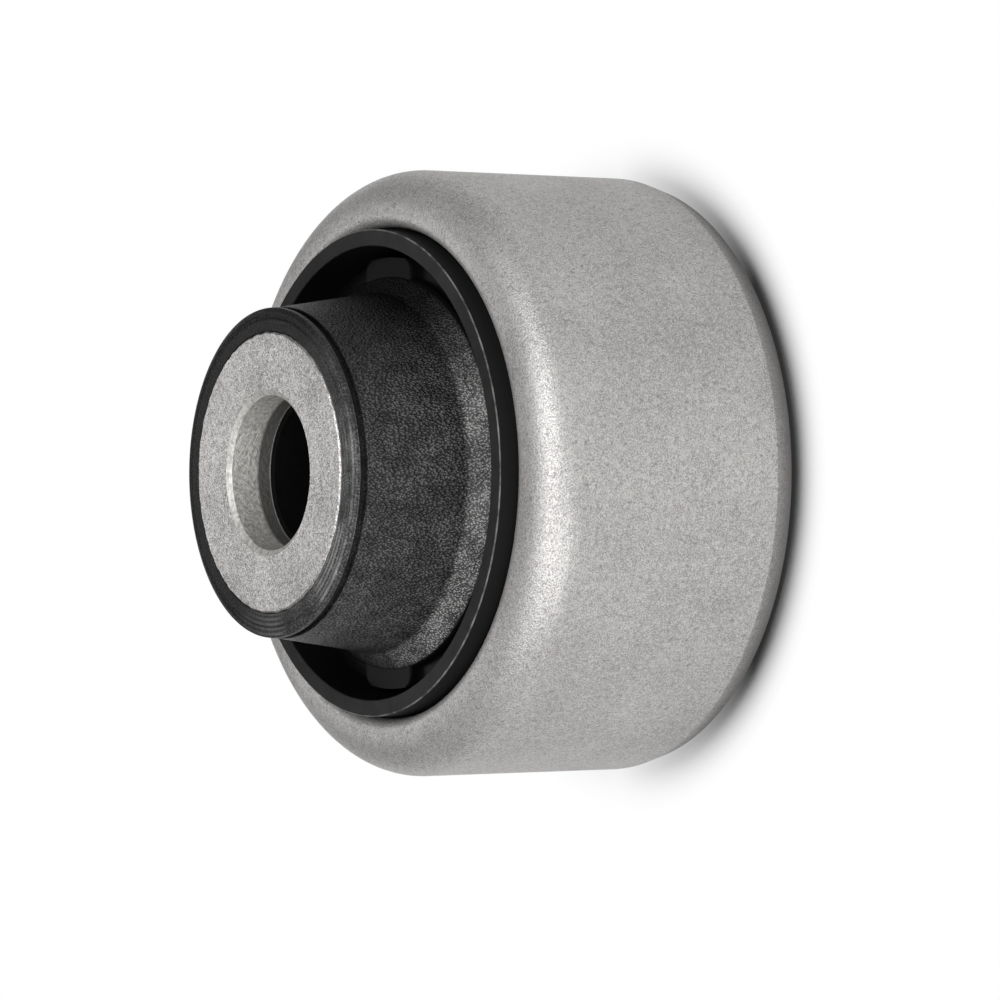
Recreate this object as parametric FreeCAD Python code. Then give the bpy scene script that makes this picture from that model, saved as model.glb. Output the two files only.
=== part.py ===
import FreeCAD, Part
import math
import os

# Rubber metal bush: a metal core sleeve bonded in a moulded rubber body, which is bonded
# in a stepped cage sleeve, which is pressed into an outer shell with one rolled end.
# Millimetres. The axis is +Z, the shell stands on its rear rim at z = 0,
# and the hub looks up. Radii build outwards from the bore, heights build up from the rim.

# Core sleeve
BORE_D = 14.2
COUNTERBORE_D = 15.6
COUNTERBORE_DEPTH = 4.9
MOUTH_BEVEL = 0.55
MOUTH_BEVEL_DEPTH = 0.41
CORE_WALL = 7.05
CORE_EDGE = 0.15
CORE_RECESS = 1.0
REAR_BEVEL = 0.6

# Rubber on the hub: a collar with a dip and a bead round its face, and a tapering neck
COLLAR_RUBBER = 2.5
COLLAR_SINK = 0.15
COLLAR_HEIGHT = 0.7
COLLAR_SHOULDER = 0.2
COLLAR_TAPER = 0.05
COLLAR_ROUND = 0.16
COLLAR_BACK_ROUND = 0.1
DIP_RUBBER = 1.5
DIP_WIDTH = 0.5
DIP_DEPTH = 0.13
DIP_ROUND = 0.12
BEAD_RUBBER = 1.9
BEAD_RISE = 0.04
BEAD_ROUND = 0.2
GROOVE_DEPTH = 0.32
GROOVE_WIDTH = 0.75
NECK_RUBBER_TOP = 2.55
NECK_RUBBER_BASE = 4.2
NECK_TOP_ROUND = 0.15

# Flange, its stop lugs and the moat round them
FLARE_HEIGHT = 2.1
FLARE_ROUND = 0.6
FLANGE_REACH = 3.65
FLANGE_EDGE = 0.25
FLANGE_DEPTH = 2.7
LAND_WIDTH = 1.8
LAND_STEP = 0.7
LUG_WIDTH = 8.8
LUG_RISE = 0.2
LUG_CORNER = 1.2
LUG_EDGE = 0.25
MOAT_WIDTH = 1.1
MOAT_DEPTH = 6.8
MOAT_ROUND = 0.5

# Rubber web and the rear moat
WEB_THICKNESS = 10.0
REAR_COVER = 3.45
REAR_ROOT = 4.15
REAR_LINING = 2.6
REAR_ROUND = 2.4
RUBBER_SHORTFALL = 0.9
RUBBER_EDGE = 0.4

# Cage sleeve
SLEEVE_WALL = 1.7
SLEEVE_RECESS = 1.5
RING_STAND_OUT = 1.2
RING_OUTER_EDGE = 0.2
RING_INNER_EDGE = 0.15
SLEEVE_SHOULDER_ROUND = 1.9

# Outer shell
SHELL_WALL = 3.0
SHELL_LIP = 3.2
MOUTH_CLEARANCE = 0.1
SHELL_SEAT_HEIGHT = 26.85
SHELL_FRONT_SLOPE = 8.0
SHOULDER_BEND = 4.4
INNER_BEND = 1.4
LIP_ROUND = 1.1
LEAD_IN_LENGTH = 2.2
LEAD_IN_DEPTH = 0.65
RIM_BEVEL = 0.5
HUB_REACH = 11.75

# Two roundings may take up this share of the side between them
ROUNDING_SHARE = 0.999
FULL_TURN = 360.0

# Radii, from the bore outwards
bore_r = BORE_D / 2
counterbore_r = COUNTERBORE_D / 2
core_r = bore_r + CORE_WALL
dip_r = core_r + DIP_RUBBER
bead_r = core_r + BEAD_RUBBER
collar_r = core_r + COLLAR_RUBBER
groove_r = collar_r - GROOVE_DEPTH
neck_top_r = core_r + NECK_RUBBER_TOP
neck_base_r = core_r + NECK_RUBBER_BASE
flange_r = neck_base_r + FLANGE_REACH
flare_rim_r = flange_r - LAND_WIDTH
ring_inner_r = flange_r + MOAT_WIDTH
ring_outer_r = ring_inner_r + SLEEVE_WALL
mouth_r = ring_outer_r + MOUTH_CLEARANCE
sleeve_r = ring_outer_r + SHELL_LIP
sleeve_inner_r = sleeve_r - SLEEVE_WALL
shell_r = sleeve_r + SHELL_WALL

# Heights, from the rear rim up
slope = math.tan(math.radians(SHELL_FRONT_SLOPE))
shoulder_z = SHELL_SEAT_HEIGHT + SHELL_WALL - (shell_r - sleeve_r + SHELL_LIP / 2) * slope
mouth_z = shoulder_z + (shell_r - mouth_r) * slope
ring_z = mouth_z + RING_STAND_OUT
hub_z = ring_z + HUB_REACH
collar_z = hub_z - COLLAR_SINK
collar_back_z = collar_z - COLLAR_HEIGHT
neck_top_z = collar_back_z - GROOVE_WIDTH
flare_rim_z = ring_z - FLANGE_DEPTH
flare_top_z = flare_rim_z + FLARE_HEIGHT
land_z = flare_rim_z - LAND_STEP
lug_z = flare_rim_z + LUG_RISE
moat_floor_z = land_z - MOAT_DEPTH
rear_moat_z = moat_floor_z - WEB_THICKNESS


def outline(corners):
    """Closed outline in the XZ plane from corners of (radius, height, rounding)."""
    points = [FreeCAD.Vector(radius, 0, height) for radius, height, rounding in corners]
    count = len(points)
    ways = [(points[(i + 1) % count] - points[i]).normalize() for i in range(count)]
    turns = [ways[i - 1].getAngle(ways[i]) for i in range(count)]
    reaches = [corners[i][2] * math.tan(turns[i] / 2) for i in range(count)]
    shares = []
    for i in range(count):
        before = reaches[i - 1] + reaches[i]
        after = reaches[i] + reaches[(i + 1) % count]
        room = [1.0]
        if before > 0:
            room.append(ROUNDING_SHARE * (points[i] - points[i - 1]).Length / before)
        if after > 0:
            room.append(ROUNDING_SHARE * (points[(i + 1) % count] - points[i]).Length / after)
        shares.append(min(room))
    starts, ends, edges = [], [], []
    for i in range(count):
        reach = reaches[i] * shares[i]
        starts.append(points[i] - ways[i - 1] * reach)
        ends.append(points[i] + ways[i] * reach)
    for i in range(count):
        if reaches[i] > 0:
            radius = corners[i][2] * shares[i]
            inward = (ways[i] - ways[i - 1]).normalize()
            crown = points[i] + inward * (radius / math.cos(turns[i] / 2) - radius)
            edges.append(Part.Arc(starts[i], crown, ends[i]).toShape())
        edges.append(Part.LineSegment(ends[i], starts[(i + 1) % count]).toShape())
    return Part.Wire(edges)


def turned(corners):
    """Solid of revolution about the bush's axis."""
    face = Part.Face(outline(corners))
    return face.revolve(FreeCAD.Vector(0, 0, 0), FreeCAD.Vector(0, 0, 1), FULL_TURN)


def inner_core():
    """Thick-walled core sleeve with a counterbore for the bolt's shoulder at the hub face."""
    return turned([
        (bore_r + REAR_BEVEL, CORE_RECESS, 0),
        (core_r - REAR_BEVEL, CORE_RECESS, 0),
        (core_r, CORE_RECESS + REAR_BEVEL, 0),
        (core_r, hub_z - CORE_EDGE, 0),
        (core_r - CORE_EDGE, hub_z, 0),
        (counterbore_r + MOUTH_BEVEL, hub_z, 0),
        (counterbore_r, hub_z - MOUTH_BEVEL_DEPTH, 0),
        (counterbore_r, hub_z - COUNTERBORE_DEPTH, 0),
        (bore_r, hub_z - COUNTERBORE_DEPTH, 0),
        (bore_r, CORE_RECESS + REAR_BEVEL, 0),
    ])


def support_sleeve():
    """Cage sleeve: a wide body under the shell's rolled end and a ring that stands out of it."""
    step_z = SHELL_SEAT_HEIGHT - SLEEVE_WALL
    return turned([
        (sleeve_r, SLEEVE_RECESS, 0),
        (sleeve_r, SHELL_SEAT_HEIGHT, SLEEVE_SHOULDER_ROUND),
        (ring_outer_r, SHELL_SEAT_HEIGHT, 0),
        (ring_outer_r, ring_z, RING_OUTER_EDGE),
        (ring_inner_r, ring_z, RING_INNER_EDGE),
        (ring_inner_r, step_z, 0),
        (sleeve_inner_r, step_z, 0),
        (sleeve_inner_r, SLEEVE_RECESS, 0),
    ])


def outer_shell():
    """Tube with a lead-in bevel at the rear rim and the front end rolled in over the sleeve."""
    return turned([
        (sleeve_r + RIM_BEVEL, 0, 0),
        (shell_r - LEAD_IN_DEPTH, 0, 0),
        (shell_r, LEAD_IN_LENGTH, 0),
        (shell_r, shoulder_z, SHOULDER_BEND),
        (mouth_r, mouth_z, LIP_ROUND),
        (mouth_r, SHELL_SEAT_HEIGHT, 0),
        (sleeve_r, SHELL_SEAT_HEIGHT, INNER_BEND),
        (sleeve_r, RIM_BEVEL, 0),
    ])


def upright(edge):
    """Whether an edge runs along the axis."""
    return edge.BoundBox.ZLength > edge.BoundBox.XLength + edge.BoundBox.YLength


def stop_lug(side):
    """One of the two lugs that stand on the flange's land and stop it against the ring."""
    disc = Part.makeCylinder(flange_r, lug_z - moat_floor_z, FreeCAD.Vector(0, 0, moat_floor_z))
    slot = Part.makeBox(flange_r - neck_base_r, LUG_WIDTH, lug_z - moat_floor_z)
    slot.translate(FreeCAD.Vector(neck_base_r, -LUG_WIDTH / 2, moat_floor_z))
    lug = disc.common(slot)
    corners = [edge for edge in lug.Edges if edge.CenterOfMass.x > flare_rim_r and upright(edge)]
    lug = lug.makeFillet(LUG_CORNER, corners)
    rims = [edge for edge in lug.Edges if edge.BoundBox.ZMin > land_z and edge.CenterOfMass.x > flare_rim_r]
    lug = lug.makeFillet(LUG_EDGE, rims)
    if side < 0:
        lug.rotate(FreeCAD.Vector(0, 0, 0), FreeCAD.Vector(0, 0, 1), FULL_TURN / 2)
    return lug


def rubber_body(core, sleeve):
    """Moulded rubber: beaded collar, tapering neck, flared flange with lugs, web and two moats."""
    inside_core_r = core_r - CORE_WALL / 2
    inside_wall_r = sleeve_r - SLEEVE_WALL / 2
    step_z = SHELL_SEAT_HEIGHT - SLEEVE_WALL / 2
    lining_r = sleeve_inner_r - REAR_LINING
    body = turned([
        (inside_core_r, collar_z, 0),
        (dip_r - DIP_WIDTH / 2, collar_z, 0),
        (dip_r, collar_z - DIP_DEPTH, DIP_ROUND),
        (bead_r, collar_z + BEAD_RISE, BEAD_ROUND),
        (collar_r - COLLAR_TAPER, collar_z - COLLAR_SHOULDER, COLLAR_ROUND),
        (collar_r, collar_back_z, COLLAR_BACK_ROUND),
        (groove_r, collar_back_z, 0),
        (groove_r, neck_top_z, 0),
        (neck_top_r, neck_top_z, NECK_TOP_ROUND),
        (neck_base_r, flare_top_z, FLARE_ROUND),
        (flare_rim_r, flare_rim_z, 0),
        (flare_rim_r, land_z, 0),
        (flange_r, land_z, FLANGE_EDGE),
        (flange_r, moat_floor_z, MOAT_ROUND),
        (ring_inner_r, moat_floor_z, MOAT_ROUND),
        (ring_inner_r, step_z, 0),
        (inside_wall_r, step_z, 0),
        (inside_wall_r, SLEEVE_RECESS + RUBBER_SHORTFALL, 0),
        (lining_r, SLEEVE_RECESS + RUBBER_SHORTFALL, RUBBER_EDGE),
        (lining_r, rear_moat_z, REAR_ROUND),
        (core_r + REAR_ROOT, rear_moat_z, REAR_ROUND),
        (core_r + REAR_COVER, CORE_RECESS + RUBBER_SHORTFALL, RUBBER_EDGE),
        (inside_core_r, CORE_RECESS + RUBBER_SHORTFALL, 0),
    ])
    for side in (1, -1):
        body = body.fuse(stop_lug(side))
    core_space = Part.makeCylinder(core_r, hub_z)
    return body.cut(core_space).cut(sleeve).removeSplitter()


def main():
    core = inner_core()
    sleeve = support_sleeve()
    parts = {
        "outer_shell": outer_shell(),
        "support_sleeve": sleeve,
        "rubber_body": rubber_body(core, sleeve),
        "inner_core": core,
    }
    os.makedirs("parts", exist_ok=True)
    for name, shape in parts.items():
        solid = shape.Solids[0]
        solid.exportStep(os.path.join("parts", name + ".step"))
        box = solid.optimalBoundingBox(False, False)
        print(name, "solids", len(shape.Solids), "valid", shape.isValid(), "volume", round(solid.Volume))
        print("    width %.3f from %.3f to %.3f high" % (box.XLength, box.ZMin, box.ZMax))


main()
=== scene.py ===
import math

import bmesh
import bpy
from mathutils import Matrix, Vector, noise


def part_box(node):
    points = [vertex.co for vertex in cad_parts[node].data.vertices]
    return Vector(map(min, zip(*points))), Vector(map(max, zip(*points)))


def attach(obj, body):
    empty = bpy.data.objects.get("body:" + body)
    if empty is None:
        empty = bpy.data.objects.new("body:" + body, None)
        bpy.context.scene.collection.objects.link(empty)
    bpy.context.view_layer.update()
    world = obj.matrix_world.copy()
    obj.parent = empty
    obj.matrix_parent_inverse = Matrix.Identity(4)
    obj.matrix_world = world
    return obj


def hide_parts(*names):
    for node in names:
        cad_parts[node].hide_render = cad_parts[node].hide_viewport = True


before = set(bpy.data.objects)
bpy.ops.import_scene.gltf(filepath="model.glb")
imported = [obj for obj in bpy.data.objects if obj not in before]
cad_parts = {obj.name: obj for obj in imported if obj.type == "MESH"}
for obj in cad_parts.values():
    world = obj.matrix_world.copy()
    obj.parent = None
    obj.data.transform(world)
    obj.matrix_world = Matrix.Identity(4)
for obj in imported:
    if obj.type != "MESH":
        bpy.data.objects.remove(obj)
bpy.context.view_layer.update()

# Outer shell
# A tube of light alloy, rolled in at its front end over the cage sleeve, with a lead-in bevel
# at the rear rim. It is tumbled and blasted, which leaves a fine matt grain all over.
MM = 0.001
SHELL_WALL = 3.0 * MM
SHELL_LIP = 3.2 * MM
SHELL_SEAT_HEIGHT = 26.85 * MM
SHELL_FRONT_SLOPE = math.radians(8.0)
MOUTH_CLEARANCE = 0.25 * MM
SHOULDER_BEND = 4.4 * MM
INNER_BEND = 1.4 * MM
LIP_ROUND = 1.35 * MM
LEAD_IN_LENGTH = 2.2 * MM
LEAD_IN_DEPTH = 0.65 * MM
LEAD_IN_ROUND = 0.3 * MM
RIM_ROUND = 0.18 * MM
RIM_BEVEL = 0.5 * MM
ROUND_STEP = math.radians(6.5)
FEWEST_STEPS = 3
QUARTER = math.radians(90.0)
QUARTER_STEPS = 90
MERGE_GAP = 0.0005 * MM
SHARP_TURN = math.radians(28.0)
GRAIN_DETAIL = 2.0
NOISE_LOW = 0.38
NOISE_HIGH = 0.62
DENT_SIZE = 0.15 * MM
DENT_SHARE = 0.65
DENT_DEPTH = 0.05 * MM
DENT_STRENGTH = 0.8
CLUMP_SIZE = 0.6 * MM
CLUMP_DETAIL = 3.0
CLUMP_SHARE = 0.2
CLUMP_DEPTH = 0.08 * MM
CLUMP_STRENGTH = 0.4
CLOUD_SIZE = 9.0 * MM
CLOUD_SHARE = 1 - DENT_SHARE - CLUMP_SHARE
PIT_SIZE = 0.5 * MM
PIT_DEEP = 0.3
PIT_RIM = 0.36
# Painted shade: the alloy darkens over this height above its bottom edge
FOOT_SHADE_HEIGHT = 2.4 * MM
ALLOY_DULL = 0.52
ALLOY_POLISHED = 0.4
SHELL_METAL = 0.45
SHELL_DARK = (0.227, 0.221, 0.217)
SHELL_LIGHT = (0.479, 0.467, 0.458)
# Painted shade: the colour the shell darkens to at its rear rim
SHELL_FOOT_SHADE = (0.19, 0.186, 0.181)

shell_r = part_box("outer_shell")[1][0]
sleeve_r = shell_r - SHELL_WALL
ring_r = sleeve_r - SHELL_LIP
mouth_r = ring_r + MOUTH_CLEARANCE
front_slope = math.tan(SHELL_FRONT_SLOPE)
shoulder_z = SHELL_SEAT_HEIGHT + SHELL_WALL - (shell_r - sleeve_r + SHELL_LIP / 2) * front_slope
mouth_z = shoulder_z + (shell_r - mouth_r) * front_slope


def turned(corners):
    """A ring turned from an outline of (radius, height, rounding): a quarter, mirrored twice."""
    mesh = bmesh.new()
    points = [Vector((radius, 0, height)) for radius, height, _ in corners]
    verts = [mesh.verts.new(point) for point in points]
    for start, end in zip(verts, verts[1:] + verts[:1]):
        mesh.edges.new((start, end))
    for i, (vert, (_, _, rounding)) in enumerate(zip(verts, corners)):
        before = points[i] - points[i - 1]
        after = points[(i + 1) % len(points)] - points[i]
        turn = before.angle(after)
        if rounding > 0:
            bmesh.ops.bevel(
                mesh, geom=[vert], affect="VERTICES", offset=rounding * math.tan(turn / 2),
                segments=max(FEWEST_STEPS, math.ceil(turn / ROUND_STEP)), profile=0.5, material=-1)
    bmesh.ops.spin(
        mesh, geom=mesh.verts[:] + mesh.edges[:], cent=(0, 0, 0), axis=(0, 0, 1),
        angle=QUARTER, steps=QUARTER_STEPS, use_merge=False, use_duplicate=False)
    for axis in ("X", "Y"):
        everything = mesh.verts[:] + mesh.edges[:] + mesh.faces[:]
        bmesh.ops.mirror(mesh, geom=everything, matrix=Matrix(), merge_dist=MERGE_GAP, axis=axis)
    bmesh.ops.remove_doubles(mesh, verts=mesh.verts[:], dist=MERGE_GAP)
    bmesh.ops.recalc_face_normals(mesh, faces=mesh.faces[:])
    return mesh


def placed(name, mesh, materials, node):
    """The finished piece: smooth where it is round, and standing for its node in the frame."""
    data = bpy.data.meshes.new(name)
    mesh.to_mesh(data)
    mesh.free()
    data.shade_smooth()
    data.set_sharp_from_angle(angle=SHARP_TURN)
    for material in materials:
        data.materials.append(material)
    piece = bpy.data.objects.new(name, data)
    bpy.context.collection.objects.link(piece)
    weighted = piece.modifiers.new("even shading", "WEIGHTED_NORMAL")
    weighted.keep_sharp = True
    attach(piece, "root")
    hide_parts(node)
    return piece


def new_material(name):
    """A material with its node tree, its shader and the object's own coordinates."""
    material = bpy.data.materials.new(name)
    material.use_nodes = True
    tree = material.node_tree
    shader = tree.nodes["Principled BSDF"]
    place = tree.nodes.new("ShaderNodeTexCoord").outputs["Object"]
    return material, tree, shader, place


def feed(tree, socket, value):
    """A socket given a number, a colour, or the output of another node."""
    if isinstance(value, bpy.types.NodeSocket):
        tree.links.new(value, socket)
    elif isinstance(value, tuple):
        socket.default_value = (*value, 1)
    else:
        socket.default_value = value


def fill(tree, shader, sockets):
    """The shader's named sockets, each given its number, colour or pattern."""
    for name, value in sockets.items():
        feed(tree, shader.inputs[name], value)


def grain(tree, place, size, detail=GRAIN_DETAIL):
    """Fine noise whose lumps are about that size."""
    node = tree.nodes.new("ShaderNodeTexNoise")
    node.inputs["Scale"].default_value = 1 / size
    node.inputs["Detail"].default_value = detail
    tree.links.new(place, node.inputs["Vector"])
    return node.outputs["Fac"]


def rise(tree, vector):
    """How high a place is, or how far a direction points up."""
    node = tree.nodes.new("ShaderNodeSeparateXYZ")
    tree.links.new(vector, node.inputs["Vector"])
    return node.outputs["Z"]


def spread(tree, value, low, high, new_low=0, new_high=1):
    """A value carried from one range to another, and held to it."""
    node = tree.nodes.new("ShaderNodeMapRange")
    node.inputs["From Min"].default_value = low
    node.inputs["From Max"].default_value = high
    node.inputs["To Min"].default_value = new_low
    node.inputs["To Max"].default_value = new_high
    tree.links.new(value, node.inputs["Value"])
    return node.outputs["Result"]


def combined(tree, kind, values):
    """Values put together in turn by one kind of sum."""
    result = values[0]
    for value in values[1:]:
        node = tree.nodes.new("ShaderNodeMath")
        node.operation = kind
        feed(tree, node.inputs[0], result)
        feed(tree, node.inputs[1], value)
        result = node.outputs["Value"]
    return result


def product(tree, *values):
    """Values multiplied."""
    return combined(tree, "MULTIPLY", values)


def total(tree, *values):
    """Values added."""
    return combined(tree, "ADD", values)


def tinted(tree, value, dark, light):
    """A colour between two, by a value."""
    node = tree.nodes.new("ShaderNodeMix")
    node.data_type = "RGBA"
    feed(tree, node.inputs["A"], dark)
    feed(tree, node.inputs["B"], light)
    feed(tree, node.inputs["Factor"], value)
    return node.outputs["Result"]


def raised(tree, height, depth, strength, under=None):
    """Surface relief of that depth, on top of the relief under it."""
    node = tree.nodes.new("ShaderNodeBump")
    feed(tree, node.inputs["Distance"], depth)
    feed(tree, node.inputs["Strength"], strength)
    feed(tree, node.inputs["Height"], height)
    if under is not None:
        feed(tree, node.inputs["Normal"], under)
    return node.outputs["Normal"]


def blasted_alloy(name, dark, light, foot_shade, metal):
    """Light alloy after blasting: a close grain of tiny dents, cloudy over a few millimetres, with
    painted shade darkening it towards its bottom edge.
    """
    material, tree, shader, place = new_material(name)
    dents = grain(tree, place, DENT_SIZE)
    clumps = grain(tree, place, CLUMP_SIZE, CLUMP_DETAIL)
    clouds = grain(tree, place, CLOUD_SIZE)
    tone = total(
        tree, product(tree, dents, DENT_SHARE), product(tree, clumps, CLUMP_SHARE),
        product(tree, clouds, CLOUD_SHARE))
    pits = spread(tree, grain(tree, place, PIT_SIZE), PIT_DEEP, PIT_RIM)
    shade = product(tree, spread(tree, tone, NOISE_LOW, NOISE_HIGH), pits)
    # Painted shade: darker over the lowest millimetres
    above_foot_shade = spread(tree, rise(tree, place), 0, FOOT_SHADE_HEIGHT)
    relief = raised(tree, dents, DENT_DEPTH, DENT_STRENGTH)
    fill(tree, shader, {
        "Base Color": tinted(tree, above_foot_shade, foot_shade, tinted(tree, shade, dark, light)),
        "Metallic": metal,
        "Roughness": spread(tree, tone, NOISE_LOW, NOISE_HIGH, ALLOY_DULL, ALLOY_POLISHED),
        "Normal": raised(tree, clumps, CLUMP_DEPTH, CLUMP_STRENGTH, relief),
    })
    return material


shell_mesh = turned([
    (sleeve_r + RIM_BEVEL, 0, RIM_ROUND),
    (shell_r - LEAD_IN_DEPTH, 0, RIM_ROUND),
    (shell_r, LEAD_IN_LENGTH, LEAD_IN_ROUND),
    (shell_r, shoulder_z, SHOULDER_BEND),
    (mouth_r, mouth_z, LIP_ROUND),
    (mouth_r, SHELL_SEAT_HEIGHT, 0),
    (sleeve_r, SHELL_SEAT_HEIGHT, INNER_BEND),
    (sleeve_r, RIM_BEVEL, 0),
])
shell_alloy = blasted_alloy("blasted shell alloy", SHELL_DARK, SHELL_LIGHT, SHELL_FOOT_SHADE, SHELL_METAL)
shell = placed("rolled_shell", shell_mesh, [shell_alloy], "outer_shell")

# Cage sleeve
# A black coated steel sleeve with a step: its wide body is held under the shell's rolled end,
# and the ring in front stands out of the mouth with crisp turned edges.
SLEEVE_WALL = 1.7 * MM
SLEEVE_RECESS = 1.5 * MM
SLEEVE_SHOULDER_ROUND = 1.9 * MM
RING_OUTER_EDGE = 0.12 * MM
RING_INNER_EDGE = 0.15 * MM
HANDLED_SIZE = 1.6 * MM
HANDLED_DETAIL = 4.0
FACING_SIDE = 0.3
FACING_UP = 0.9
COAT_THIN = 0.7
COAT_DARK = (0.0095, 0.0095, 0.0095)
# Painted light: the coat's lighter colour where it faces up
COAT_FACE_PAINTED_LIGHT = (0.022, 0.022, 0.0217)
COAT_SIDE_POLISH = 0.45
COAT_FACE_POLISH = 0.6
COAT_SHEEN = 0.05
COAT_GRAIN = 0.12 * MM
COAT_DEPTH = 0.01 * MM
COAT_STRENGTH = 0.3
EDGE_DARK = (0.02, 0.02, 0.02)
# Painted highlight: the light colour of the ring's outer edge, partly where the coat is thinned
EDGE_HIGHLIGHT = (0.12, 0.12, 0.117)
COATED, RUBBED_HIGHLIGHT = range(2)

ring_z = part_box("support_sleeve")[1][2]
ring_inner_r = ring_r - SLEEVE_WALL
sleeve_inner_r = sleeve_r - SLEEVE_WALL
step_z = SHELL_SEAT_HEIGHT - SLEEVE_WALL


def blended(tree, share, at_none, at_full):
    """A number between two, by a share from none to all."""
    return spread(tree, share, 0, 1, at_none, at_full)


def coated_steel():
    """A thin black coat: duller on the turned front face than down the sides, and painted lighter
    where it faces up, as painted light.
    """
    material, tree, shader, place = new_material("black coated steel")
    handled = grain(tree, place, HANDLED_SIZE, HANDLED_DETAIL)
    facing = rise(tree, tree.nodes.new("ShaderNodeNewGeometry").outputs["Normal"])
    front_face_and_light = spread(tree, facing, FACING_SIDE, FACING_UP)
    # Painted light: the colour is lighter where the surface faces up
    coat = product(tree, front_face_and_light, spread(tree, handled, NOISE_LOW, NOISE_HIGH, COAT_THIN, 1))
    fill(tree, shader, {
        "Base Color": tinted(tree, coat, COAT_DARK, COAT_FACE_PAINTED_LIGHT),
        "Roughness": blended(tree, front_face_and_light, COAT_SIDE_POLISH, COAT_FACE_POLISH),
        "Specular IOR Level": COAT_SHEEN,
        "Normal": raised(tree, grain(tree, place, COAT_GRAIN), COAT_DEPTH, COAT_STRENGTH),
    })
    return material


def rubbed_edge_highlight():
    """The ring's outer edge: a lighter line, partly the coat thinned by handling and partly painted
    highlight.
    """
    material, tree, shader, place = new_material("rubbed steel edge highlight")
    rubbed = spread(tree, grain(tree, place, HANDLED_SIZE), NOISE_LOW, NOISE_HIGH)
    fill(tree, shader, {
        "Base Color": tinted(tree, rubbed, EDGE_DARK, EDGE_HIGHLIGHT),
        "Roughness": COAT_FACE_POLISH,
    })
    return material


sleeve_mesh = turned([
    (sleeve_r, SLEEVE_RECESS, 0),
    (sleeve_r, SHELL_SEAT_HEIGHT, SLEEVE_SHOULDER_ROUND),
    (ring_r, SHELL_SEAT_HEIGHT, 0),
    (ring_r, ring_z, RING_OUTER_EDGE),
    (ring_inner_r, ring_z, RING_INNER_EDGE),
    (ring_inner_r, step_z, 0),
    (sleeve_inner_r, step_z, 0),
    (sleeve_inner_r, SLEEVE_RECESS, 0),
])
# The ring's outer front edge gets the painted highlight material
for face in sleeve_mesh.faces:
    middle = face.calc_center_median()
    at_outside = math.hypot(middle.x, middle.y) > ring_r - RING_OUTER_EDGE
    at_front = ring_z - RING_OUTER_EDGE < middle.z < ring_z
    face.material_index = RUBBED_HIGHLIGHT if at_outside and at_front else COATED
sleeve = placed("cage_sleeve", sleeve_mesh, [coated_steel(), rubbed_edge_highlight()], "support_sleeve")

# Core sleeve
# A thick-walled alloy sleeve that the bolt goes through, with a wider counterbore at the hub.
# Its face is blasted like the shell, and the counterbore keeps the marks of the cutter.
BORE_R = 7.1 * MM
COUNTERBORE_R = 7.8 * MM
COUNTERBORE_DEPTH = 4.9 * MM
MOUTH_BEVEL = 0.55 * MM
MOUTH_BEVEL_DEPTH = 0.41 * MM
MOUTH_ROUND = 0.06 * MM
LEDGE_FOOT_ROUND = 0.12 * MM
LEDGE_EDGE_ROUND = 0.1 * MM
LEDGE_TURN = 0.08 * MM
CORE_EDGE = 0.15 * MM
CORE_EDGE_ROUND = 0.05 * MM
CORE_RECESS = 1.0 * MM
REAR_BEVEL = 0.6 * MM
WORN_RIM = 0.3 * MM
WEAR_DEPTH = 0.12 * MM
WEAR_SHARE = 0.5
WEAR_STEP = 0.9 * MM
CORE_DARK = (0.19, 0.185, 0.182)
CORE_LIGHT = (0.602, 0.587, 0.575)
CORE_METAL = 0.7
WAVE_PERIOD = math.pi / 10
STREAK_SPACING = 0.45 * MM
STREAK_WANDER = 30.0
STREAK_SHARE = 0.12
STREAK_GRAIN = 0.45 * MM
STREAK_DETAIL = 5.0
STREAK_LOW = 0.38
STREAK_HIGH = 0.7
STREAK_DARK = 0.5
STREAK_DEPTH = 0.08 * MM
# Painted shade on the lowest part of the counterbore wall, next to the ledge
WALL_SHADE_RISE = 1.3 * MM
WALL_SHADE_FADE = 0.35 * MM
WALL_SHADE_TONE = 0.07
CUT_DARK = (0.07, 0.069, 0.066)
CUT_LIGHT = (0.55, 0.537, 0.51)
CUT_POLISH = 0.5
CUT_METAL = 0.4
# Painted shade: the near-black colour of the bore and its ledge
BORE_SHADE_DARK = (0.001, 0.001, 0.001)
BORE_SHADE_LIGHT = (0.004, 0.004, 0.004)
BORE_POLISH = 0.7
BORE_SHEEN = 0.05
BLASTED, CUT, UNLIT = range(3)

core_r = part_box("inner_core")[1][0]
hub_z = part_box("inner_core")[1][2]
wall_top_z = hub_z - MOUTH_BEVEL_DEPTH
ledge_z = hub_z - COUNTERBORE_DEPTH


def lines(tree, place, kind, spacing, wander):
    """Wandering lines along the height, or as rings round the axis, at about that spacing."""
    node = tree.nodes.new("ShaderNodeTexWave")
    node.wave_type = kind
    node.bands_direction = "Z"
    node.rings_direction = "Z"
    node.inputs["Scale"].default_value = WAVE_PERIOD / spacing
    node.inputs["Distortion"].default_value = wander
    tree.links.new(place, node.inputs["Vector"])
    return node.outputs["Fac"]


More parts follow.
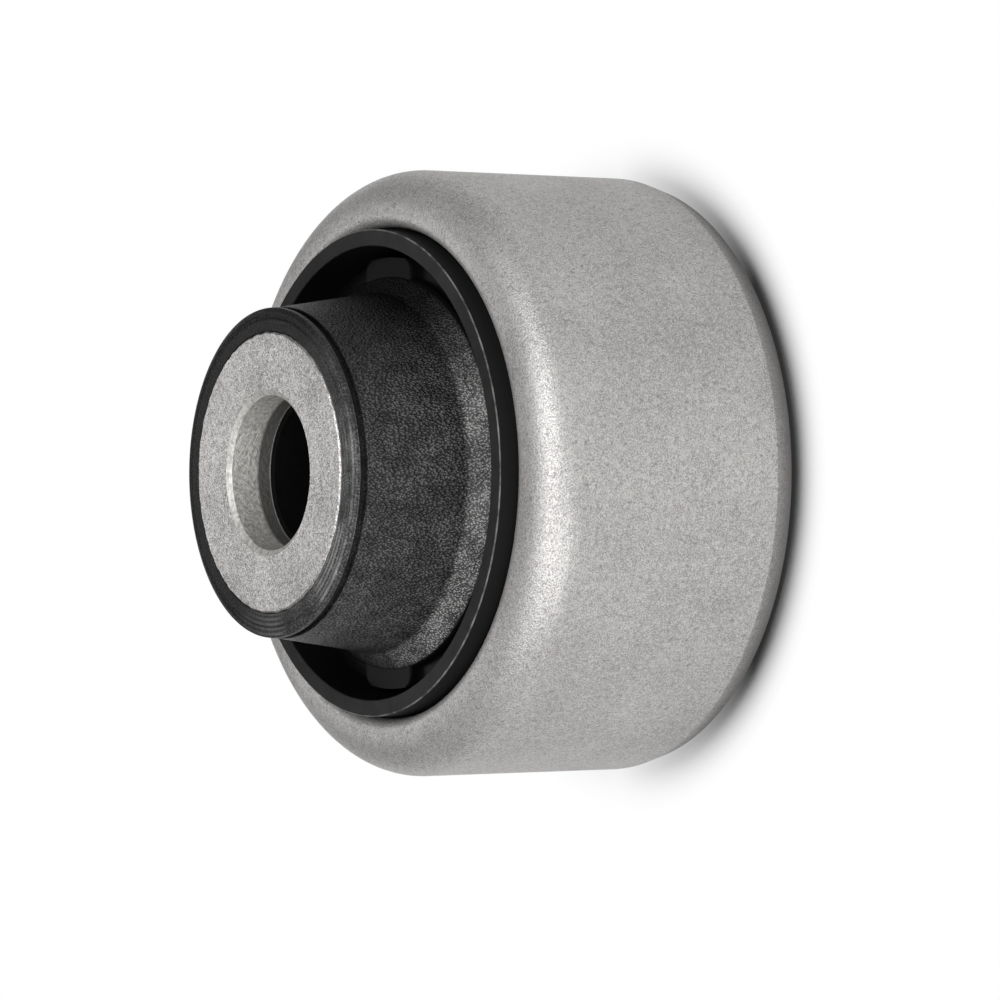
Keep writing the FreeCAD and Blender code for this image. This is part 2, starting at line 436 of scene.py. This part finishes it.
def machined_alloy():
    """The counterbore's wall: streaks from the cutter, and painted shade darkening it near the
    ledge.
    """
    material, tree, shader, place = new_material("machined counterbore")
    height = rise(tree, place)
    rings = product(tree, lines(tree, place, "BANDS", STREAK_SPACING, STREAK_WANDER), STREAK_SHARE)
    streaks = total(tree, rings, grain(tree, place, STREAK_GRAIN, STREAK_DETAIL))
    streaks = spread(tree, streaks, STREAK_LOW, STREAK_HIGH, STREAK_DARK, 1)
    on_wall = spread(tree, height, wall_top_z - LEDGE_TURN, wall_top_z, 1, 0)
    # Painted shade: the wall darkens below this height
    wall_shade_top_z = ledge_z + WALL_SHADE_RISE
    lit = spread(tree, height, wall_shade_top_z, wall_shade_top_z + WALL_SHADE_FADE, WALL_SHADE_TONE, 1)
    fill(tree, shader, {
        "Base Color": tinted(tree, product(tree, streaks, lit), CUT_DARK, CUT_LIGHT),
        "Metallic": CUT_METAL,
        "Roughness": CUT_POLISH,
        "Normal": raised(tree, streaks, STREAK_DEPTH, on_wall),
    })
    return material


def bore_painted_shade():
    """Painted shade for the narrow bore and its ledge: near-black, since hardly any light reaches
    there.
    """
    material, tree, shader, place = new_material("bore painted shade")
    clumps = grain(tree, place, CLUMP_SIZE, CLUMP_DETAIL)
    fill(tree, shader, {
        "Base Color": tinted(tree, clumps, BORE_SHADE_DARK, BORE_SHADE_LIGHT),
        "Roughness": BORE_POLISH,
        "Specular IOR Level": BORE_SHEEN,
    })
    return material


core_mesh = turned([
    (BORE_R + REAR_BEVEL, CORE_RECESS, 0),
    (core_r - REAR_BEVEL, CORE_RECESS, 0),
    (core_r, CORE_RECESS + REAR_BEVEL, 0),
    (core_r, hub_z - CORE_EDGE, 0),
    (core_r - CORE_EDGE, hub_z, CORE_EDGE_ROUND),
    (COUNTERBORE_R + MOUTH_BEVEL, hub_z, MOUTH_ROUND),
    (COUNTERBORE_R, wall_top_z, MOUTH_ROUND),
    (COUNTERBORE_R, ledge_z, LEDGE_FOOT_ROUND),
    (BORE_R, ledge_z, LEDGE_EDGE_ROUND),
    (BORE_R, CORE_RECESS + REAR_BEVEL, 0),
])
# Handling wears the hub face's outer edge back by an uneven amount
for vert in core_mesh.verts:
    radius = math.hypot(vert.co.x, vert.co.y)
    if vert.co.z > hub_z - CORE_EDGE - MERGE_GAP and radius > core_r - WORN_RIM:
        unevenness = noise.noise(Vector((vert.co.x, vert.co.y, 0)) / WEAR_STEP)
        wear = WEAR_DEPTH * (WEAR_SHARE + unevenness)
        vert.co.x *= 1 - wear / radius
        vert.co.y *= 1 - wear / radius
for face in core_mesh.faces:
    middle = face.calc_center_median()
    radius = math.hypot(middle.x, middle.y)
    if radius < COUNTERBORE_R - LEDGE_TURN and middle.z < wall_top_z:
        face.material_index = UNLIT
    elif radius < COUNTERBORE_R + MOUTH_BEVEL - LEDGE_TURN:
        face.material_index = CUT
    else:
        face.material_index = BLASTED
# The core gets painted shade towards its bottom edge too, in its dark grain colour
core_alloy = blasted_alloy("blasted core alloy", CORE_DARK, CORE_LIGHT, CORE_DARK, CORE_METAL)
core = placed("core_sleeve", core_mesh, [core_alloy, machined_alloy(), bore_painted_shade()], "inner_core")

# Moulded rubber
# One moulding in black rubber, bonded to the core and the cage: a collar with a dip and a bead
# round the hub face, a tapering neck, a flared flange with two stop lugs, and a moat either side.
COLLAR_RUBBER = 2.5 * MM
COLLAR_SINK = 0.15 * MM
COLLAR_HEIGHT = 0.7 * MM
COLLAR_SHOULDER = 0.2 * MM
COLLAR_TAPER = 0.05 * MM
COLLAR_ROUND = 0.16 * MM
COLLAR_BACK_ROUND = 0.1 * MM
COLLAR_SEAM = 0.12 * MM
DIP_RUBBER = 1.5 * MM
DIP_WIDTH = 0.5 * MM
DIP_DEPTH = 0.13 * MM
DIP_ROUND = 0.12 * MM
BEAD_RUBBER = 1.9 * MM
BEAD_RISE = 0.04 * MM
BEAD_ROUND = 0.2 * MM
GROOVE_DEPTH = 0.32 * MM
GROOVE_WIDTH = 0.75 * MM
NECK_RUBBER_TOP = 2.55 * MM
NECK_RUBBER_BASE = 4.2 * MM
NECK_TOP_ROUND = 0.15 * MM
FLARE_HEIGHT = 2.1 * MM
FLARE_ROUND = 0.4 * MM
FLANGE_REACH = 3.65 * MM
FLANGE_EDGE = 0.25 * MM
FLANGE_DEPTH = 2.7 * MM
LAND_WIDTH = 1.8 * MM
LAND_STEP = 0.7 * MM
RIM_SOFTENING = 0.08 * MM
MOAT_DEPTH = 6.8 * MM
MOAT_ROUND = 0.5 * MM
WEB_THICKNESS = 10.0 * MM
REAR_COVER = 3.45 * MM
REAR_ROOT = 4.15 * MM
REAR_LINING = 2.6 * MM
REAR_ROUND = 2.4 * MM
RUBBER_SHORTFALL = 0.9 * MM
RUBBER_EDGE = 0.4 * MM
LUG_WIDTH = 8.8 * MM
LUG_RISE = 0.2 * MM
LUG_CORNER = 1.5 * MM
LUG_CORNER_STEPS = 8
LUG_EDGE = 0.25 * MM
LUG_EDGE_STEPS = 4
LUG_ROOT = 0.6 * MM
LUG_CUTS = 15
DUST_SIZE = 2.4 * MM
DUST_DETAIL = 3.0
DUST_THIN = 0.5
FADE_HEIGHT = 0.25 * MM
FLARE_FADE = 0.5 * MM
NECK_CHALK = 0.096
# Painted light: how much lighter the flare cone is coloured
FLARE_PAINTED_LIGHT = 0.3
SHADED_SIDE_SHARE = 0.06
# Painted light: the rubber is coloured lighter on the side towards this azimuth and darker on the
# far side
LIGHT_SIDE = math.radians(-24.0)
# Painted highlight: a light line along the collar's back edge
COLLAR_HIGHLIGHT_WIDTH = 0.16 * MM
COLLAR_HIGHLIGHT_TONE = 0.4
GROOVE_EDGE = 0.05 * MM
# Painted shade: how much the dust tone fades in the groove behind the collar
GROOVE_SHADE = 0.75
# Painted glints: the dust tone is raised at the middle of each pebble of the peel
GLINT_NEAR = 0.15
GLINT_FAR = 0.55
GLINT_LOW = 0.8
GLINT_HIGH = 4.2
RUB_SPACING = 0.5 * MM
RUB_WANDER = 0.6
RUB_LENGTH = 6.0 * MM
RUB_BARE = 0.46
RUB_FULL = 0.6
RUB_TONE = 0.4
RUBBER_DARK = (0.003, 0.003, 0.003)
RUBBER_DUST_AND_LIGHT = (0.3, 0.3, 0.297)
NECK_POLISH = 0.36
COLLAR_POLISH = 0.5
FLARE_POLISH = 0.3
RUBBER_SHEEN = 0.2
COLLAR_SHEEN = 0.24
SHADED_SHEEN = 0.45
MOAT_SHEEN = 0.12
PEEL_SIZE = 0.22 * MM
PEEL_DEPTH = 0.24 * MM
PEEL_SLANT = math.radians(40.0)
PEEL_STRETCH = 0.7
PEEL_STRENGTH = 1.0
COLLAR_PEEL = 0.35
PORE_SIZE = 0.09 * MM
PORE_DEPTH = 0.04 * MM

dip_r = core_r + DIP_RUBBER
bead_r = core_r + BEAD_RUBBER
collar_r = core_r + COLLAR_RUBBER
groove_r = collar_r - GROOVE_DEPTH
neck_top_r = core_r + NECK_RUBBER_TOP
neck_base_r = core_r + NECK_RUBBER_BASE
flange_r = neck_base_r + FLANGE_REACH
flare_rim_r = flange_r - LAND_WIDTH
lug_root_r = flare_rim_r - LUG_ROOT
lining_r = sleeve_inner_r - REAR_LINING
collar_z = hub_z - COLLAR_SINK
collar_side_z = collar_z - COLLAR_SHOULDER
collar_back_z = collar_z - COLLAR_HEIGHT
neck_top_z = collar_back_z - GROOVE_WIDTH
flare_rim_z = ring_z - FLANGE_DEPTH
flare_top_z = flare_rim_z + FLARE_HEIGHT
land_z = flare_rim_z - LAND_STEP
lug_z = flare_rim_z + LUG_RISE
moat_floor_z = land_z - MOAT_DEPTH
rear_moat_z = moat_floor_z - WEB_THICKNESS
rear_edge_z = SLEEVE_RECESS + RUBBER_SHORTFALL
rear_cover_z = CORE_RECESS + RUBBER_SHORTFALL


def towards_light(tree, place):
    """How far a place lies towards the side the light comes from, where the rubber is painted
    lighter.
    """
    side = tree.nodes.new("ShaderNodeVectorMath")
    side.operation = "DOT_PRODUCT"
    side.inputs[1].default_value = (math.sin(LIGHT_SIDE), -math.cos(LIGHT_SIDE), 0)
    tree.links.new(place, side.inputs[0])
    return spread(tree, side.outputs["Value"], 0, core_r)


def pebbled(tree, place):
    """How far a place lies from the middle of its pebble in the mould's slanting grain."""
    slant = tree.nodes.new("ShaderNodeMapping")
    slant.inputs["Rotation"].default_value = (0, PEEL_SLANT, 0)
    slant.inputs["Scale"].default_value = (1, 1, PEEL_STRETCH)
    tree.links.new(place, slant.inputs["Vector"])
    pebbles = tree.nodes.new("ShaderNodeTexVoronoi")
    pebbles.inputs["Scale"].default_value = 1 / PEEL_SIZE
    tree.links.new(slant.outputs["Vector"], pebbles.inputs["Vector"])
    return pebbles.outputs["Distance"]


def moulded_rubber():
    """Black rubber with the mould's peel and chalky dust, painted lighter towards the light and
    painted darker in its recesses.
    """
    material, tree, shader, place = new_material("moulded black rubber")
    height = rise(tree, place)
    light_side_share = towards_light(tree, place)
    off_pebble = pebbled(tree, place)
    dust = grain(tree, place, DUST_SIZE, DUST_DETAIL)
    dust = spread(tree, dust, NOISE_LOW, NOISE_HIGH, DUST_THIN, 1)

    on_flare = spread(tree, height, flare_top_z - FADE_HEIGHT, flare_top_z + FLARE_FADE, 1, 0)
    on_collar = spread(tree, height, neck_top_z, collar_back_z)
    on_front = spread(tree, height, collar_side_z - COLLAR_SHOULDER, collar_side_z)
    in_groove = product(
        tree, spread(tree, height, neck_top_z - GROOVE_EDGE, neck_top_z),
        spread(tree, height, collar_back_z - GROOVE_EDGE, collar_back_z, 1, 0))
    # Painted shade: the dust tone fades out in the groove and below the lug tops, in the moat;
    # sheen and peel fade there too
    unshaded_open_skin = product(
        tree, spread(tree, height, lug_z, lug_z + FADE_HEIGHT),
        blended(tree, in_groove, 1, 1 - GROOVE_SHADE))

    # Painted light: the flare cone is coloured lighter, most on the side towards the light
    flare_light = product(tree, light_side_share, light_side_share, FLARE_PAINTED_LIGHT)
    dust_and_light = total(tree, product(tree, on_flare, flare_light), NECK_CHALK)
    # Painted glints, partly dust on the pebbles' tops: brightest at each pebble's middle
    glints_and_dust = spread(tree, off_pebble, GLINT_NEAR, GLINT_FAR, GLINT_HIGH, GLINT_LOW)
    # Painted light and shade: the dust tone is full towards the light and thinned on the far side
    dust_and_light = product(tree, dust_and_light, blended(tree, light_side_share, SHADED_SIDE_SHARE, 1), unshaded_open_skin, dust, glints_and_dust)
    # Rub rings on the collar's front, lighter only towards the light: partly rub marks, partly
    # painted light
    rub_places = spread(
        tree, grain(tree, place, RUB_LENGTH, DUST_DETAIL), RUB_BARE, RUB_FULL, 0, RUB_TONE)
    rub_rings_and_light = product(
        tree, lines(tree, place, "RINGS", RUB_SPACING, RUB_WANDER), rub_places, light_side_share, on_front)
    # Painted highlight: a light line along the collar's back edge, towards the light
    collar_edge_highlight = product(
        tree, spread(tree, height, collar_back_z - GROOVE_EDGE, collar_back_z, 0, COLLAR_HIGHLIGHT_TONE),
        spread(tree, height, collar_back_z, collar_back_z + COLLAR_HIGHLIGHT_WIDTH, 1, 0), light_side_share, dust)

    polish = total(
        tree, blended(tree, on_collar, NECK_POLISH, COLLAR_POLISH),
        blended(tree, on_flare, 0, FLARE_POLISH - NECK_POLISH))
    lit_side = combined(tree, "MAXIMUM", (on_collar, blended(tree, light_side_share, SHADED_SHEEN, 1)))
    sheen = product(
        tree, blended(tree, on_collar, RUBBER_SHEEN, COLLAR_SHEEN), lit_side,
        blended(tree, unshaded_open_skin, MOAT_SHEEN, 1))
    peel_strength = product(tree, unshaded_open_skin, blended(tree, on_collar, PEEL_STRENGTH, COLLAR_PEEL))
    lumps = combined(tree, "SUBTRACT", (1, off_pebble))
    peel = raised(tree, lumps, PEEL_DEPTH, peel_strength)
    fill(tree, shader, {
        "Base Color": tinted(tree, total(tree, dust_and_light, rub_rings_and_light, collar_edge_highlight), RUBBER_DARK, RUBBER_DUST_AND_LIGHT),
        "Roughness": polish,
        "Specular IOR Level": sheen,
        "Normal": raised(tree, grain(tree, place, PORE_SIZE), PORE_DEPTH, peel_strength, peel),
    })
    return material


rubber_mesh = turned([
    (core_r, collar_z - COLLAR_SEAM, 0),
    (core_r + COLLAR_SEAM, collar_z, COLLAR_SEAM / 2),
    (dip_r - DIP_WIDTH / 2, collar_z, DIP_ROUND),
    (dip_r, collar_z - DIP_DEPTH, DIP_ROUND),
    (bead_r, collar_z + BEAD_RISE, BEAD_ROUND),
    (collar_r - COLLAR_TAPER, collar_side_z, COLLAR_ROUND),
    (collar_r, collar_back_z, COLLAR_BACK_ROUND),
    (groove_r, collar_back_z, 0),
    (groove_r, neck_top_z, 0),
    (neck_top_r, neck_top_z, NECK_TOP_ROUND),
    (neck_base_r, flare_top_z, FLARE_ROUND),
    (flare_rim_r, flare_rim_z, RIM_SOFTENING),
    (flare_rim_r, land_z, RIM_SOFTENING),
    (flange_r, land_z, FLANGE_EDGE),
    (flange_r, moat_floor_z, MOAT_ROUND),
    (ring_inner_r, moat_floor_z, MOAT_ROUND),
    (ring_inner_r, step_z, 0),
    (sleeve_inner_r, step_z, 0),
    (sleeve_inner_r, rear_edge_z, 0),
    (lining_r, rear_edge_z, RUBBER_EDGE),
    (lining_r, rear_moat_z, REAR_ROUND),
    (core_r + REAR_ROOT, rear_moat_z, REAR_ROUND),
    (core_r + REAR_COVER, rear_cover_z, RUBBER_EDGE),
    (core_r, rear_cover_z, 0),
])
# The lugs stand on the flange's land and end flush with its side, one at each end of the X axis
for turn in (0, math.pi):
    lug = bmesh.new()
    plan = ((lug_root_r, -1), (flange_r, -1), (flange_r, 1), (lug_root_r, 1))
    corners = [lug.verts.new((x, y * LUG_WIDTH / 2, land_z - FLANGE_EDGE)) for x, y in plan]
    lug.faces.new(corners)
    bmesh.ops.bevel(
        lug, geom=corners[1:3], affect="VERTICES", offset=LUG_CORNER, segments=LUG_CORNER_STEPS,
        profile=0.5, material=-1)
    outer = max(lug.edges, key=lambda edge: sum(vert.co.x for vert in edge.verts))
    bmesh.ops.subdivide_edges(lug, edges=[outer], cuts=LUG_CUTS)
    for vert in lug.verts:
        vert.co.x = min(vert.co.x, math.sqrt(flange_r ** 2 - vert.co.y ** 2))
    grown = bmesh.ops.extrude_face_region(lug, geom=lug.faces[:], use_keep_orig=True)["geom"]
    for vert in (item for item in grown if isinstance(item, bmesh.types.BMVert)):
        vert.co.z = lug_z
    rims = [
        edge for edge in lug.edges
        if all(vert.co.z > land_z for vert in edge.verts)
        and any(vert.co.x > flare_rim_r for vert in edge.verts)]
    bmesh.ops.bevel(
        lug, geom=rims, affect="EDGES", offset=LUG_EDGE, segments=LUG_EDGE_STEPS,
        profile=0.5, material=-1)
    bmesh.ops.rotate(lug, verts=lug.verts[:], cent=(0, 0, 0), matrix=Matrix.Rotation(turn, 3, "Z"))
    bmesh.ops.recalc_face_normals(lug, faces=lug.faces[:])
    lug_data = bpy.data.meshes.new("lug")
    lug.to_mesh(lug_data)
    lug.free()
    rubber_mesh.from_mesh(lug_data)
    bpy.data.meshes.remove(lug_data)
body = placed("rubber_moulding", rubber_mesh, [moulded_rubber()], "rubber_body")

# Table
# The bush stands on its rear rim on a plain white table. It shows white to the camera and in
# the metal's reflections, but for the soft shade round the rim, and lights the bush as grey paint.
TABLE_HALF = 3.0
TABLE_PAINT = (0.6, 0.6, 0.6)
SHADE_REACH = 5.6 * MM
SHADE_DEEPEST = 0.55
SHADE_FALL = 1.7
SHADE_DEPTH = 0.97
SHADE_FRONT = 24.0 * MM
SHADE_BACK_SHARE = 0.12


def white_table():
    """White where it is looked at, and paint where it passes light on."""
    material, tree, shader, place = new_material("white table")
    tree.nodes.remove(shader)
    spot = tree.nodes.new("ShaderNodeSeparateXYZ")
    tree.links.new(place, spot.inputs["Vector"])
    open_sky = tree.nodes.new("ShaderNodeAmbientOcclusion")
    open_sky.inputs["Distance"].default_value = SHADE_REACH
    near_rim = spread(tree, open_sky.outputs["AO"], SHADE_DEEPEST, 1, 1, 0)
    near_rim = combined(tree, "POWER", (near_rim, SHADE_FALL))
    towards_front = spread(tree, spot.outputs["Y"], -SHADE_FRONT, 0, 1, SHADE_BACK_SHARE)
    shade = product(tree, near_rim, towards_front, SHADE_DEPTH)
    shown = tree.nodes.new("ShaderNodeEmission")
    feed(tree, shown.inputs["Strength"], combined(tree, "SUBTRACT", (1, shade)))
    paint = tree.nodes.new("ShaderNodeBsdfDiffuse")
    feed(tree, paint.inputs["Color"], TABLE_PAINT)
    ray = tree.nodes.new("ShaderNodeLightPath").outputs
    looked_at = combined(
        tree, "MAXIMUM", (ray["Is Camera Ray"], ray["Is Glossy Ray"], ray["Is Transmission Ray"]))
    seen = tree.nodes.new("ShaderNodeMixShader")
    feed(tree, seen.inputs["Fac"], looked_at)
    feed(tree, seen.inputs[1], paint.outputs["BSDF"])
    feed(tree, seen.inputs[2], shown.outputs["Emission"])
    feed(tree, tree.nodes["Material Output"].inputs["Surface"], seen.outputs["Shader"])
    return material


table_mesh = bmesh.new()
bmesh.ops.create_grid(table_mesh, x_segments=1, y_segments=1, size=TABLE_HALF)
table_data = bpy.data.meshes.new("table")
table_mesh.to_mesh(table_data)
table_mesh.free()
table_data.materials.append(white_table())
table = bpy.data.objects.new("table", table_data)
bpy.context.collection.objects.link(table)

# Light
# A bright key box low in front and a wide box high in front, one box at either side and one
# behind, in a dark grey room that is a little less dark along the horizon.
ROOM_GREY = (0.0509, 0.0509, 0.0509)
HORIZON_STRENGTH = 1.0
HORIZON_TOP = math.radians(3.0)
ROOM_STRENGTH = 0.05
ROOM_START = math.radians(8.0)
BOX_DISTANCE = 0.9
BOX_HEIGHT = 0.45
# Each box's azimuth and elevation in degrees, its width in metres and its power in watts
SOFT_BOXES = {
    "key box": (-30.0, 18.0, 0.45, 4.5),
    "front box": (8.0, 58.0, 0.8, 7.6),
    "left box": (57.0, 42.0, 0.25, 2.1),
    "right box": (-57.0, 42.0, 0.35, 1.8),
    "back box": (180.0, 36.0, 0.45, 1.5),
}


def soft_box(name, azimuth, elevation, width, power):
    """A soft box that looks at the bush from that side. Azimuth 0 is in front."""
    data = bpy.data.lights.new(name, "AREA")
    data.shape = "RECTANGLE"
    data.size = width
    data.size_y = BOX_HEIGHT
    data.energy = power
    lamp = bpy.data.objects.new(name, data)
    bpy.context.collection.objects.link(lamp)
    away = Vector((
        math.sin(azimuth) * math.cos(elevation),
        -math.cos(azimuth) * math.cos(elevation),
        math.sin(elevation)))
    lamp.location = away * BOX_DISTANCE + Vector((0, 0, hub_z / 2))
    lamp.rotation_euler = away.to_track_quat("Z", "Y").to_euler()


for box_name, (azimuth, elevation, width, power) in SOFT_BOXES.items():
    soft_box(box_name, math.radians(azimuth), math.radians(elevation), width, power)

room = bpy.data.worlds.new("dark room")
bpy.context.scene.world = room
room.use_nodes = True
tree = room.node_tree
upward = rise(tree, tree.nodes.new("ShaderNodeTexCoord").outputs["Generated"])
band = spread(
    tree, upward, math.sin(HORIZON_TOP), math.sin(ROOM_START), HORIZON_STRENGTH, ROOM_STRENGTH)
fill(tree, tree.nodes["Background"], {"Color": ROOM_GREY, "Strength": band})

# Camera
# It looks down at the bush from the front, turned a quarter turn, so that the hub points left.
# A long lens stands half a metre off.
CAMERA_PLACE = (-0.00274, -0.42117, 0.28951)
CAMERA_TILT = math.radians(33.085)
CAMERA_LENS = 174.67
CAMERA_SENSOR = 36.0
CAMERA_NEAR = 0.01

camera_data = bpy.data.cameras.new("camera")
camera_data.sensor_width = CAMERA_SENSOR
camera_data.lens = CAMERA_LENS
camera_data.clip_start = CAMERA_NEAR
camera = bpy.data.objects.new("camera", camera_data)
bpy.context.collection.objects.link(camera)
camera_right = (0, -math.sin(CAMERA_TILT), -math.cos(CAMERA_TILT))
camera_up = (1, 0, 0)
camera_back = (0, -math.cos(CAMERA_TILT), math.sin(CAMERA_TILT))
facing = Matrix((camera_right, camera_up, camera_back)).transposed().to_4x4()
camera.matrix_world = Matrix.Translation(CAMERA_PLACE) @ facing
bpy.context.scene.camera = camera
bpy.context.scene.view_settings.view_transform = "Standard"
